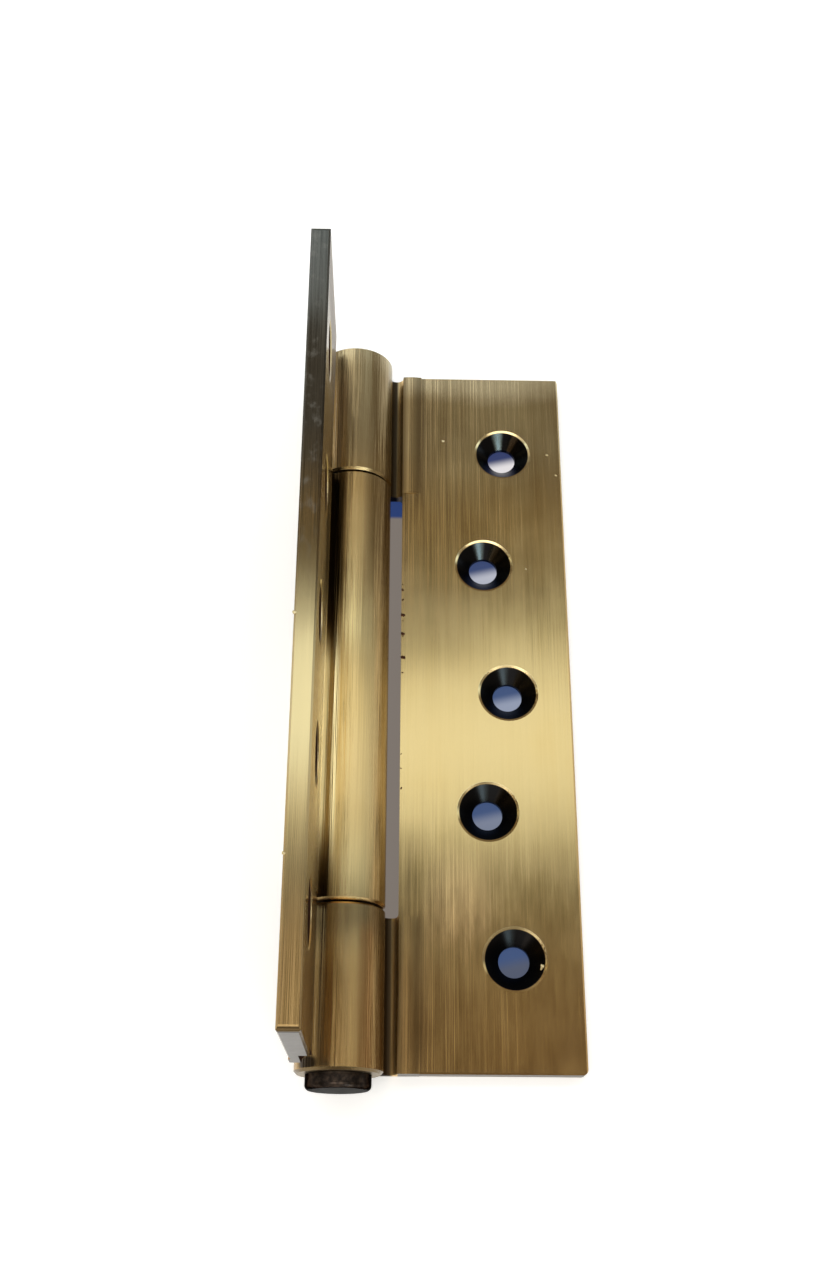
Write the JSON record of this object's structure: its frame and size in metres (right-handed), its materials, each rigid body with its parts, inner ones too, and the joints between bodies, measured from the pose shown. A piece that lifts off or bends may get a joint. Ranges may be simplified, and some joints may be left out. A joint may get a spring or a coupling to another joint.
{
  "type": "spring hinge",
  "caption": "Brass door hinge with countersunk leaves on a knuckled barrel, a torsion spring inside the barrel and a dark round-headed tension adjuster at its lower end.",
  "frame": {"origin": "on the mounting plane of the frame leaf, straight under the pin line, at the middle of the leaf's length", "axes": "+Z out of the mounting plane, +Y along the pin line away from the adjuster, +X across the frame leaf to its free edge"},
  "size_m": [0.0448, 0.1299, 0.0448],
  "materials": {
    "brass": "antique brushed, streaks along the pin",
    "bronze": "turned",
    "steel": "ground",
    "spring_steel": "oiled",
    "black_steel": "blackened"
  },
  "bodies": {
    "frame": {"frame_leaf": "brass", "top_pivot": "steel", "lock_screw": "black_steel"},
    "door": {"door_leaf": "brass", "anchor_plug": "bronze", "plug_pin": "steel", "lower_bush": "bronze"},
    "winder": {"adjuster": "black_steel", "torsion_spring": "spring_steel"}
  },
  "joints": [
    {"name": "leaf_swing", "type": "hinge", "parent": "frame", "child": "door", "pos_m": [0, 0, 0.00675], "axis": [0, 1, 0], "range_deg": [-90, 90], "stiffness_Nm_per_rad": 0.096, "springref_deg": 3.61, "deforming": ["torsion_spring"]},
    {"name": "adjuster_turn", "type": "hinge", "parent": "frame", "child": "winder", "pos_m": [0, 0, 0.00675], "axis": [0, 1, 0], "range_deg": [0, 180], "deforming": ["torsion_spring"]}
  ]
}
